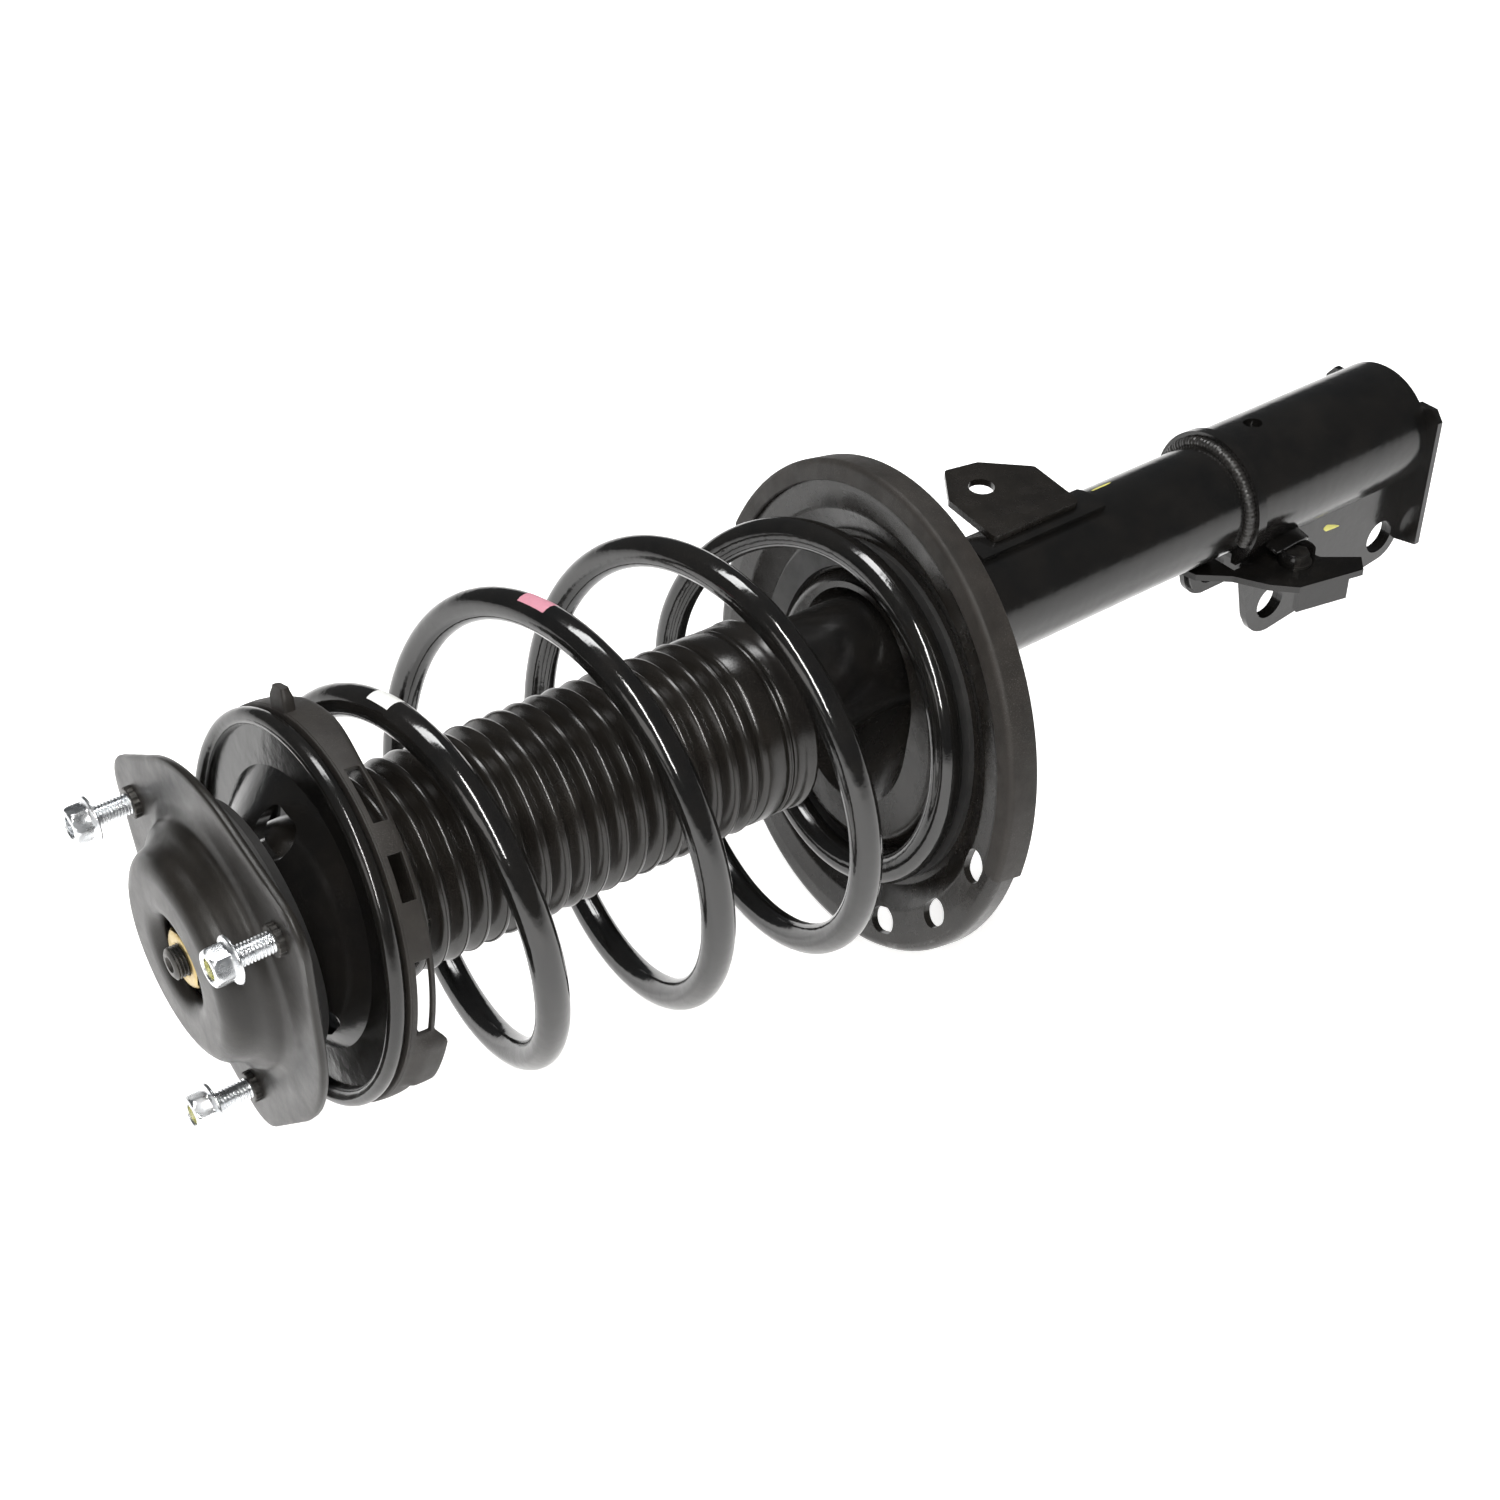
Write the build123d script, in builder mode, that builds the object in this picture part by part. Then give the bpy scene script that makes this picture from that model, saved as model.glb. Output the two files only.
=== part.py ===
"""Front suspension strut assembly: damper, coil spring, top mount and brackets.

Millimetres. +X runs along the damper away from the top mount, +Z is up with the strut
lying on its side, and the origin is the centre of the stud circle on the mount's top face.
"""
import os
from math import cos, radians, sin

from build123d import *

# ---------------------------------------------------------------- driving dimensions
rod_r = 10.0
rod_thread_r = 6.0
rod_tip_x = -19.5
shoulder_x = 7.5

stud_circle_r = 63.5
stud_start = 23
stud_r = 4.0
stud_root_r = 3.75
stud_knurl_r = 4.4
stud_tip_x = -23.5
nut_face_x = -25.0
nut_seat_x = -16.2

plate_t = 3.0
plate_r = 69.0
lobe_r = 17.5

tube_r = 25.4
tube_wall = 2.5
tube_top_x = 206.0
tube_end_x = 590.0

wire_r = 6.2
coil_r = 82.48
coil_flare = 0.028
coil_pitch = 66.89
coil_first_x = 51.3
coil_slope = 0.0838
coil_seat_r = 65.09
coil_seat_depth = 6.68
coil_climb = 0.1283
coil_start = -148
coil_end = 1375
leave_start, leave_end = 15.1, 244.0
land_start, land_end = 1074.3, 1192.6

top_seat_x = 31.9
top_seat_slope = 0.13
top_coil_r = 64.5
top_coil_depth = 8.9

boot_pivot_x = 36.0
boot_droop = 1.9
boot_ridges = 15
boot_pitch = 8.45
boot_first_ridge_x = 84.0

seat_slope_y = 0.08
seat_slope_z = 0.14
seat_x = 282.4
seat_y = -2.9
seat_z = -25.2
seat_rim_r = 99.5

sleeve_x0 = 480.0
sleeve_x1 = 591.0
sleeve_r = 28.9
ear_in = 18.0
ear_t = 3.0
bolt_a = (507.6, -54.6)
bolt_b = (579.4, -47.3)
bolt_hole_r = 8.2
sleeve_hole_r = 4.2

os.makedirs("parts", exist_ok=True)

seat_axis_dir = Vector(1, -seat_slope_y, -seat_slope_z).normalized()
seat_origin = Vector(seat_x, seat_y, seat_z)
seat_side = Vector(0, 0, 1).cross(seat_axis_dir).normalized()
seat_plane = Plane(origin=seat_origin, x_dir=seat_side, z_dir=seat_axis_dir)
seat_axis = Axis(seat_origin, seat_axis_dir)

top_dir = Vector(1, 0, -top_seat_slope).normalized()
top_origin = Vector(top_seat_x, 0, 0)
top_plane = Plane(origin=top_origin, x_dir=(0, 1, 0), z_dir=top_dir)
top_axis = Axis(top_origin, top_dir)
top_section = Plane(origin=top_origin, x_dir=top_dir, z_dir=(0, -1, 0))


def across(x):
    """A plane square to the damper axis, with its own x along +Y and its own y along +Z."""
    return Plane.YZ.offset(x)


def seat_section_at(angle):
    """A plane through the tilted seat axis, its own y pointing outwards at this angle."""
    out = seat_plane.x_dir * cos(radians(angle)) + seat_plane.y_dir * sin(radians(angle))
    return Plane(origin=seat_origin, x_dir=seat_axis_dir, z_dir=seat_axis_dir.cross(out))


# ================================================================ top mount, fixed to the car

# pressed upper plate: three rounded lobes and a raised round cup with a rolled hole
with BuildPart() as mount_cup:
    with BuildSketch(across(0)):
        Circle(plate_r)
        with PolarLocations(stud_circle_r, 3, stud_start):
            Circle(lobe_r)
        make_hull()
        Circle(54, mode=Mode.SUBTRACT)
        with PolarLocations(stud_circle_r, 3, stud_start):
            Circle(stud_knurl_r + 0.05, mode=Mode.SUBTRACT)
    extrude(amount=plate_t)
    with BuildSketch(Plane.XY):
        with BuildLine():
            FilletPolyline(
                (1.5, 57), (1.5, 50.5), (-4.5, 44.5), (-8, 40),
                (-16, 37.5), (-16, 19.5), (-12.5, 16.5), radius=3.2)
        trace(line_width=plate_t)
    revolve(axis=Axis.X)
mount_cup.part.label = "mount_cup"
export_step(mount_cup.part, "parts/mount_cup.step")

# three studs pressed through the lobes: threaded tip, plain shank, knurl in the plate, head behind
with BuildPart() as mount_studs:
    with BuildSketch(across(stud_tip_x)):
        with PolarLocations(stud_circle_r, 3, stud_start):
            Circle(stud_root_r)
    extrude(amount=nut_seat_x + 0.1 - stud_tip_x)
    chamfer(mount_studs.edges().group_by(Axis.X)[0], 0.7)
    with BuildSketch(across(nut_seat_x + 0.1)):
        with PolarLocations(stud_circle_r, 3, stud_start):
            Circle(stud_r)
    extrude(amount=-nut_seat_x - 0.1)
    with BuildSketch(across(0)):
        with PolarLocations(stud_circle_r, 3, stud_start):
            Circle(stud_knurl_r)
    extrude(amount=plate_t)
    with BuildSketch(across(plate_t)):
        with PolarLocations(stud_circle_r, 3, stud_start):
            Circle(7)
    extrude(amount=2.2)
mount_studs.part.label = "mount_studs"
export_step(mount_studs.part, "parts/mount_studs.step")

# flange hex nuts run onto the stud tips for shipping
with BuildPart() as stud_nuts:
    with BuildSketch(across(nut_face_x)):
        with PolarLocations(stud_circle_r, 3, stud_start):
            RegularPolygon(6.2, 6, major_radius=False)
    extrude(amount=nut_seat_x - nut_face_x - 1.2)
    chamfer(stud_nuts.edges().group_by(Axis.X)[0], 0.6)
    with BuildSketch(across(nut_seat_x - 1.2)):
        with PolarLocations(stud_circle_r, 3, stud_start):
            Circle(8.75)
    extrude(amount=1.2)
    with BuildSketch(across(nut_face_x)):
        with PolarLocations(stud_circle_r, 3, stud_start):
            Circle(stud_root_r + 0.05)
    extrude(amount=nut_seat_x - nut_face_x, mode=Mode.SUBTRACT)
stud_nuts.part.label = "stud_nuts"
export_step(stud_nuts.part, "parts/stud_nuts.step")

# rubber ring that carries the rod inside the cup
with BuildPart() as mount_rubber:
    with BuildSketch(Plane.XY):
        with BuildLine():
            Polyline(
                (3, 18.5), (-9, 18.5), (-9, 22), (-14.4, 23.5), (-14.4, 32.5), (-8, 35.8),
                (-4.5, 38.5), (0, 43), (3, 44), close=True)
        make_face()
    revolve(axis=Axis.X)
mount_rubber.part.label = "mount_rubber"
export_step(mount_rubber.part, "parts/mount_rubber.step")

# steel housing moulded into the rubber, holding the bearing's outer race
with BuildPart() as mount_sleeve:
    with BuildSketch(across(-9)):
        Circle(18.5)
        Circle(16.5, mode=Mode.SUBTRACT)
    extrude(amount=12)
mount_sleeve.part.label = "mount_sleeve"
export_step(mount_sleeve.part, "parts/mount_sleeve.step")

# flat steel ring that closes the cup from behind
with BuildPart() as mount_backing:
    with BuildSketch(across(plate_t)):
        Circle(54)
        Circle(24, mode=Mode.SUBTRACT)
    extrude(amount=2)
mount_backing.part.label = "mount_backing"
export_step(mount_backing.part, "parts/mount_backing.step")

# bearing: outer race in the housing, twelve balls, inner race on the rod
ball_circle_r = 11.75
ball_r = 1.7
ball_x = 0.5
with BuildPart() as bearing_outer_race:
    with BuildSketch(Plane.XY):
        with BuildLine():
            Polyline((-3, 12.7), (3, 12.7), (3, 16.5), (-3, 16.5), close=True)
        make_face()
        with Locations((ball_x, ball_circle_r)):
            Circle(ball_r + 0.03, mode=Mode.SUBTRACT)
    revolve(axis=Axis.X)
bearing_outer_race.part.label = "bearing_outer_race"
export_step(bearing_outer_race.part, "parts/bearing_outer_race.step")

with BuildPart() as bearing_inner_race:
    with BuildSketch(Plane.XY):
        with BuildLine():
            Polyline((-3, 6.05), (5, 6.05), (5, 10.8), (-3, 10.8), close=True)
        make_face()
        with Locations((ball_x, ball_circle_r)):
            Circle(ball_r + 0.05, mode=Mode.SUBTRACT)
    revolve(axis=Axis.X)
bearing_inner_race.part.label = "bearing_inner_race"
export_step(bearing_inner_race.part, "parts/bearing_inner_race.step")

with BuildPart(across(ball_x)) as bearing_balls:
    with PolarLocations(ball_circle_r, 12):
        Sphere(ball_r)
bearing_balls.part.label = "bearing_balls"
export_step(bearing_balls.part, "parts/bearing_balls.step")

# dust seal skirt hanging from the backing ring over the spring seat
with BuildPart() as dust_seal:
    with BuildSketch(Plane.XY):
        with BuildLine():
            Polyline(
                (5, 36), (5, 52), (11, 50.5), (15, 47.5), (15, 44.5), (11, 41), (8, 36),
                close=True)
        make_face()
    revolve(axis=Axis.X)
dust_seal.part.label = "dust_seal"
export_step(dust_seal.part, "parts/dust_seal.step")

# ================================================================ rod and upper seat, one body

# polished rod: threaded nose, shoulder, shaft and the tail that carries the piston
with BuildPart() as piston_rod:
    with BuildSketch(across(rod_tip_x)):
        Circle(rod_thread_r)
    extrude(amount=shoulder_x - rod_tip_x)
    chamfer(piston_rod.edges().group_by(Axis.X)[0], 1)
    with BuildSketch(across(shoulder_x)):
        Circle(rod_r)
    extrude(amount=270 - shoulder_x)
    with BuildSketch(across(270)):
        Circle(6)
    extrude(amount=30)
piston_rod.part.label = "piston_rod"
export_step(piston_rod.part, "parts/piston_rod.step")

# plated nut that pulls the rod up against the bearing
with BuildPart() as rod_nut:
    with BuildSketch(across(-15)):
        RegularPolygon(10.5, 6, major_radius=False)
        Circle(rod_thread_r + 0.05, mode=Mode.SUBTRACT)
    extrude(amount=9)
    chamfer(rod_nut.edges().filter_by(GeomType.LINE).group_by(Axis.X)[0], 1)
rod_nut.part.label = "rod_nut"
export_step(rod_nut.part, "parts/rod_nut.step")

# thick washer between the nut and the bearing
with BuildPart() as rod_washer:
    with BuildSketch(across(-6)):
        Circle(10.6)
        Circle(rod_thread_r + 0.05, mode=Mode.SUBTRACT)
    extrude(amount=3)
rod_washer.part.label = "rod_washer"
export_step(rod_washer.part, "parts/rod_washer.step")

# pressed upper spring seat: hub on the rod shoulder, cone, tilted ring and rolled edge
with BuildPart() as upper_spring_seat:
    with BuildSketch(across(5)):
        Circle(21)
    with BuildSketch(top_plane.offset(-2.5)):
        Circle(52)
    loft()
    with BuildSketch(across(7.5)):
        Circle(18.5)
    with BuildSketch(top_plane.offset(0.1)):
        Circle(49.5)
    loft(mode=Mode.SUBTRACT)
    with BuildSketch(across(0)):
        Circle(6.1)
    extrude(amount=12, mode=Mode.SUBTRACT)
    with BuildSketch(top_section):
        with BuildLine():
            Polyline((-2.5, 49.5), (0, 49.5), (0, 69), (-2.5, 69), close=True)
        make_face()
        with Locations((-3.4, 69.6)):
            Circle(3.2)
    revolve(axis=top_axis)
    with BuildSketch(across(6)):
        with PolarLocations(39, 3, 95):
            SlotOverall(20, 12, rotation=90)
    extrude(amount=40, mode=Mode.SUBTRACT)
upper_spring_seat.part.label = "upper_spring_seat"
export_step(upper_spring_seat.part, "parts/upper_spring_seat.step")

# rubber insulator on the tilted ring: base, skirt with windows, stop for the wire's end, tab
skirt_r = 73.3
with BuildPart() as upper_insulator:
    with BuildSketch(top_section):
        with BuildLine():
            Polyline(
                (0.1, 54), (2.3, 54), (2.3, 71.2), (9.5, 71.2), (9.5, skirt_r),
                (0.1, skirt_r), close=True)
        make_face()
    revolve(axis=top_axis)
    with BuildSketch(top_plane.offset(2.8)):
        with PolarLocations(72, 1, 117):
            Rectangle(6, 15)
        with PolarLocations(72, 1, 140):
            Rectangle(6, 12)
        with PolarLocations(72, 1, 174):
            Rectangle(6, 26)
    extrude(amount=5, mode=Mode.SUBTRACT)
    with BuildSketch(top_plane.offset(2.3)):
        with PolarLocations(73.7, 1, -160):
            Rectangle(7, 24)
    extrude(amount=12)
    with BuildSketch(top_plane.offset(0.1)):
        with PolarLocations(77, 1, 75):
            Rectangle(9, 12)
    extrude(amount=5)
    with BuildSketch(top_plane.offset(2.3)):
        with PolarLocations(64.5, 1, -160):
            Rectangle(12, 8)
    extrude(amount=10)
upper_insulator.part.label = "upper_insulator"
export_step(upper_insulator.part, "parts/upper_insulator.step")

# foam buffer on the rod, with rounded steps
with BuildPart() as bump_stop:
    with BuildSketch(Plane.XY):
        with BuildLine():
            FilletPolyline(
                (38, rod_r + 0.05), (38, 24), (57, 24), (60, 20), (63, 24), (78, 24), (81, 18.5),
                (84, 21.5), (96, 20), (103.5, 15), (103.5, rod_r + 0.05), radius=1.2, close=True)
        make_face()
    revolve(axis=Axis.X)
bump_stop.part.label = "bump_stop"
export_step(bump_stop.part, "parts/bump_stop.step")

# rebound bumper ring fixed to the rod under the guide
with BuildPart() as rebound_stop:
    with BuildSketch(across(227)):
        Circle(15)
        Circle(rod_r + 0.02, mode=Mode.SUBTRACT)
    extrude(amount=12)
rebound_stop.part.label = "rebound_stop"
export_step(rebound_stop.part, "parts/rebound_stop.step")

# piston with a groove, its ring and its nut on the rod's tail
with BuildPart() as piston:
    with BuildSketch(across(270)):
        Circle(15.9)
        Circle(6.02, mode=Mode.SUBTRACT)
    extrude(amount=18)
    with BuildSketch(across(275)):
        Circle(16)
        Circle(14.9, mode=Mode.SUBTRACT)
    extrude(amount=8, mode=Mode.SUBTRACT)
piston.part.label = "piston"
export_step(piston.part, "parts/piston.step")

with BuildPart() as piston_ring:
    with BuildSketch(across(275)):
        Circle(15.95)
        Circle(14.9, mode=Mode.SUBTRACT)
    extrude(amount=8)
piston_ring.part.label = "piston_ring"
export_step(piston_ring.part, "parts/piston_ring.step")

with BuildPart() as piston_nut:
    with BuildSketch(across(288)):
        RegularPolygon(8.5, 6, major_radius=False)
        Circle(6.02, mode=Mode.SUBTRACT)
    extrude(amount=8)
piston_nut.part.label = "piston_nut"
export_step(piston_nut.part, "parts/piston_nut.step")

# rubber bellows hanging from the upper seat, drooping a little, with a plain cuff
boot_dir = Vector(cos(radians(boot_droop)), 0, -sin(radians(boot_droop)))
boot_origin = Vector(boot_pivot_x, 0, 0)
with BuildPart() as dust_boot:
    with BuildSketch(Plane(origin=boot_origin, x_dir=boot_dir, z_dir=(0, -1, 0))):
        with BuildLine():
            boot_line = [(-20, 22), (-13, 27), (-6, 31), (38, 31), (43, 34)]
            for ridge in range(boot_ridges):
                ridge_x = boot_first_ridge_x - boot_pivot_x + ridge * boot_pitch
                boot_line.append((ridge_x - 1.2, 38.2))
                boot_line.append((ridge_x + 1.2, 38.2))
                if ridge < boot_ridges - 1:
                    boot_line.append((ridge_x + boot_pitch / 2 - 0.6, 33.6))
                    boot_line.append((ridge_x + boot_pitch / 2 + 0.6, 33.6))
            boot_line += [(172, 37.7), (184, 37.7), (185.5, 37.4), (187, 37.7), (196, 37.7)]
            Polyline(*boot_line)
        trace(line_width=1.8)
    revolve(axis=Axis(boot_origin, boot_dir))
dust_boot.part.label = "dust_boot"
export_step(dust_boot.part, "parts/dust_boot.step")


# ================================================================ coil spring
def ease(value, start, end):
    """0 before start, 1 after end, smooth in between."""
    t = min(1.0, max(0.0, (value - start) / (end - start)))
    return t * t * (3 - 2 * t)


def wire_point(turn):
    """Centre of the wire at this angle: a closed first turn, open turns, a closed last turn."""
    c, n = cos(radians(turn)), sin(radians(turn))
    along = coil_first_x - 160 + coil_pitch * turn / 360
    r = coil_r + coil_flare * along
    open_point = (Vector(160, 0, -10.05) + Vector(0.9965, 0, -coil_slope) * along
                  + Vector(coil_slope * n, c, 0.9965 * n) * r)
    if turn < -60:
        climb = (turn + 150) ** 2 / 180 if turn > -150 else 0
    else:
        climb = turn + 105
    top_point = top_plane.from_local_coords(
        (top_coil_r * c, top_coil_r * n, top_coil_depth + coil_climb * climb))
    seat_point = seat_plane.from_local_coords(
        (coil_seat_r * c, coil_seat_r * n, -coil_seat_depth))
    leave = ease(turn, leave_start, leave_end)
    land = ease(turn, land_start, land_end)
    return (Vector(top_point) * (1 - leave) + open_point * leave) * (1 - land) + (
        Vector(seat_point) * land)


coil_steps = 56
with BuildPart() as coil_spring:
    with BuildLine() as coil_path:
        coil_points = []
        for step in range(coil_steps + 1):
            coil_points.append(wire_point(coil_start + (coil_end - coil_start) * step / coil_steps))
        Spline(*coil_points)
    with BuildSketch(Plane(origin=coil_path.line @ 0, z_dir=coil_path.line % 0)):
        Circle(wire_r)
    sweep()
coil_spring.part.label = "coil_spring"
export_step(coil_spring.part, "parts/coil_spring.step")

# ================================================================ damper tube and its fittings

# outer tube, rolled in over the seal at its top
with BuildPart() as outer_tube:
    with BuildSketch(Plane.XY):
        with BuildLine():
            Polyline(
                (tube_top_x, 15), (tube_top_x, tube_r - 1.5), (tube_top_x + 1.5, tube_r),
                (tube_end_x, tube_r), (tube_end_x, tube_r - tube_wall),
                (tube_top_x + tube_wall, tube_r - tube_wall), (tube_top_x + tube_wall, 15),
                close=True)
        make_face()
    revolve(axis=Axis.X)
outer_tube.part.label = "outer_tube"
export_step(outer_tube.part, "parts/outer_tube.step")

with BuildPart() as tube_cap:
    with BuildSketch(across(584)):
        Circle(tube_r - tube_wall)
    extrude(amount=4)
    fillet(tube_cap.edges().group_by(Axis.X)[-1], 1.5)
tube_cap.part.label = "tube_cap"
export_step(tube_cap.part, "parts/tube_cap.step")

with BuildPart() as oil_seal:
    with BuildSketch(across(tube_top_x + tube_wall)):
        Circle(tube_r - tube_wall - 0.02)
        Circle(rod_r + 0.05, mode=Mode.SUBTRACT)
    extrude(amount=4)
oil_seal.part.label = "oil_seal"
export_step(oil_seal.part, "parts/oil_seal.step")

with BuildPart() as rod_guide:
    with BuildSketch(across(tube_top_x + tube_wall + 4)):
        Circle(tube_r - tube_wall - 0.02)
        Circle(rod_r + 0.05, mode=Mode.SUBTRACT)
    extrude(amount=9)
    with BuildSketch(across(221.5)):
        Circle(16)
        Circle(rod_r + 0.05, mode=Mode.SUBTRACT)
    extrude(amount=4.8)
rod_guide.part.label = "rod_guide"
export_step(rod_guide.part, "parts/rod_guide.step")

with BuildPart() as inner_cylinder:
    with BuildSketch(across(221.5)):
        Circle(17.5)
        Circle(16, mode=Mode.SUBTRACT)
    extrude(amount=258.5)
inner_cylinder.part.label = "inner_cylinder"
export_step(inner_cylinder.part, "parts/inner_cylinder.step")

# base valve body with four passages
with BuildPart() as base_valve:
    with BuildSketch(across(480)):
        Circle(22.8)
        with PolarLocations(19, 4):
            Circle(2, mode=Mode.SUBTRACT)
    extrude(amount=10)
base_valve.part.label = "base_valve"
export_step(base_valve.part, "parts/base_valve.step")

# zinc plated cap over the tube's top that the foam buffer lands on
with BuildPart() as bump_cap:
    with BuildSketch(Plane.XY):
        with BuildLine():
            FilletPolyline((205, 12), (205, 28.9), (236.5, 28.9), radius=2.5)
        trace(line_width=1.8)
        with BuildLine():
            Polyline((212, tube_r + 0.02), (215, tube_r + 0.02), (217, 28.2), (210, 28.2), close=True)
        make_face()
    revolve(axis=Axis.X)
bump_cap.part.label = "bump_cap"
export_step(bump_cap.part, "parts/bump_cap.step")

# pressed lower spring seat on a tilted axis: floor, coil channel, coned wall and rolled rim,
# then a hub that reaches back to the tube
with BuildPart() as lower_spring_seat:
    with BuildSketch(seat_section_at(90)):
        with BuildLine():
            FilletPolyline(
                (-3.5, 37), (-3.5, 53), (3.8, 57), (3.8, 74), (-1.5, 84), (-2.5, 92),
                (-2.5, seat_rim_r), (6, seat_rim_r), radius=2.6)
        trace(line_width=3)
    revolve(axis=seat_axis)
    with BuildSketch(seat_plane.offset(-12)):
        with Locations((2, 0)):
            Circle(39)
        with Locations((2, 13)):
            Circle(39)
        make_hull()
    extrude(amount=30, mode=Mode.SUBTRACT)
    with BuildSketch(seat_plane.offset(-5)):
        with Locations((2, 0)):
            Circle(41.5)
        with Locations((2, 13)):
            Circle(41.5)
        make_hull()
    with BuildSketch(across(310)):
        Circle(tube_r + 3)
    loft()
    with BuildSketch(seat_plane.offset(-5.1)):
        with Locations((2, 0)):
            Circle(39)
        with Locations((2, 13)):
            Circle(39)
        make_hull()
    with BuildSketch(across(310.1)):
        Circle(tube_r - 1)
    loft(mode=Mode.SUBTRACT)
    with BuildSketch(across(310)):
        Circle(tube_r + 3)
    extrude(amount=6)
    with BuildSketch(across(240)):
        Circle(tube_r + 0.02)
    extrude(amount=80, mode=Mode.SUBTRACT)
    with BuildSketch(seat_plane.offset(-16)):
        with PolarLocations(88, 3, 193, angular_range=75):
            SlotOverall(15, 11, rotation=90)
    extrude(amount=30, mode=Mode.SUBTRACT)
lower_spring_seat.part.label = "lower_spring_seat"
export_step(lower_spring_seat.part, "parts/lower_spring_seat.step")

# rubber edging pushed over part of the seat's rim
with BuildPart() as seat_edge_guard:
    with BuildSketch(seat_section_at(22)):
        with BuildLine():
            Polyline(
                (-6.2, 94.5), (-6.2, 102), (-4.8, 103.5), (6.8, 103.5), (6.8, 101.2),
                (-4.2, 101.2), (-4.2, 94.5), close=True)
        make_face()
    revolve(axis=seat_axis, revolution_arc=167)
seat_edge_guard.part.label = "seat_edge_guard"
export_step(seat_edge_guard.part, "parts/seat_edge_guard.step")

# rubber pad between the last coil and the seat channel
with BuildPart() as lower_insulator:
    with BuildSketch(seat_section_at(90)):
        with BuildLine():
            Polyline((2.2, 59.5), (2.2, 71), (-0.1, 71), (-0.1, 59.5), close=True)
        make_face()
    revolve(axis=seat_axis)
lower_insulator.part.label = "lower_insulator"
export_step(lower_insulator.part, "parts/lower_insulator.step")

with BuildPart() as seat_weld:
    with BuildSketch(Plane.XY):
        with BuildLine():
            Polyline(
                (316.05, tube_r + 0.02), (321, tube_r + 0.02), (316.05, tube_r + 3), close=True)
        make_face()
    revolve(axis=Axis.X)
seat_weld.part.label = "seat_weld"
export_step(seat_weld.part, "parts/seat_weld.step")

# saddle strip welded along the top of the tube, with a slot
with BuildPart() as link_saddle:
    with BuildSketch(across(340)):
        Circle(tube_r + 3)
        Circle(tube_r + 0.02, mode=Mode.SUBTRACT)
        with BuildLine():
            Polyline((0, 0), (22, 60), (-17, 60), close=True)
        make_face(mode=Mode.INTERSECT)
    extrude(amount=68)
    with BuildSketch(Plane.XY.offset(20)):
        with Locations((383, 3)):
            SlotOverall(15, 4)
    extrude(amount=15, mode=Mode.SUBTRACT)
link_saddle.part.label = "link_saddle"
export_step(link_saddle.part, "parts/link_saddle.step")

# flag plate for the stabiliser link
link_plane = Plane(origin=(0, 0, tube_r + 3.2), x_dir=(1, 0, 0), z_dir=(0, -sin(radians(3)), cos(radians(3))))
with BuildPart() as link_bracket:
    with BuildSketch(link_plane):
        with BuildLine():
            FilletPolyline(
                (350, -3), (352, 28), (365, 46), (381, 43), (399, 27), (397, -3),
                radius=2.5, close=True)
        make_face()
        with Locations((370, 28)):
            Circle(5.6, mode=Mode.SUBTRACT)
    extrude(amount=3)
link_bracket.part.label = "link_bracket"
export_step(link_bracket.part, "parts/link_bracket.step")

# knuckle bracket: half sleeve round the tube, two ears with bolt holes, folded far edge
with BuildPart() as knuckle_bracket:
    with BuildSketch(across(sleeve_x0)):
        Circle(sleeve_r)
        with BuildLine():
            Polyline((-21, -19), (21, -19), (21, -24), (-21, -24), close=True)
        make_face()
        Circle(tube_r + 0.02, mode=Mode.SUBTRACT)
        with Locations((0, -30)):
            Rectangle(2 * ear_in, 30, mode=Mode.SUBTRACT)
    extrude(amount=sleeve_x1 - sleeve_x0)
    with BuildSketch(across(sleeve_x0)):
        Circle(30.9)
        Circle(tube_r + 0.02, mode=Mode.SUBTRACT)
        with Locations((0, -30)):
            Rectangle(2 * 21, 40, mode=Mode.SUBTRACT)
    extrude(amount=5)
    with BuildSketch(Plane.XZ.offset(ear_in)):
        with Locations(bolt_a):
            Circle(15)
        with Locations(bolt_b):
            Circle(13)
        with Locations((sleeve_x0 + 11, -30)):
            Circle(5)
        with Locations((sleeve_x1 - 5, -24)):
            Circle(5)
        make_hull()
        with Locations((sleeve_x0 + 55.5, -22)):
            Rectangle(103, 6)
        with Locations(bolt_a, bolt_b):
            Circle(bolt_hole_r, mode=Mode.SUBTRACT)
    extrude(amount=ear_t)
    with BuildSketch(Plane.XZ.offset(-ear_in)):
        with Locations(bolt_a):
            Circle(15)
        with Locations(bolt_b):
            Circle(13)
        with Locations((sleeve_x0 + 11, -30)):
            Circle(5)
        with Locations((sleeve_x1 - 5, -24)):
            Circle(5)
        make_hull()
        with Locations((sleeve_x0 + 55.5, -22)):
            Rectangle(103, 6)
        with Locations(bolt_a, bolt_b):
            Circle(bolt_hole_r, mode=Mode.SUBTRACT)
    extrude(amount=-ear_t)
    with BuildSketch(across(sleeve_x1)):
        with BuildLine():
            Polyline(
                (-18, -53), (-33, -50), (-33, 14), (-29, 19), (-20, 19), (-20, -18), (-18, -20),
                close=True)
        make_face()
        with BuildLine():
            Polyline(
                (18, -53), (33, -50), (33, 11), (29, 16), (22, 16), (20, 12), (20, -18), (18, -20),
                close=True)
        make_face()
        Circle(tube_r + 0.02, mode=Mode.SUBTRACT)
    extrude(amount=3)
    with BuildSketch(Plane.XY.offset(20)):
        with Locations((505, 1.5)):
            Circle(sleeve_hole_r)
    extrude(amount=15, mode=Mode.SUBTRACT)
knuckle_bracket.part.label = "knuckle_bracket"
export_step(knuckle_bracket.part, "parts/knuckle_bracket.step")

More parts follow.
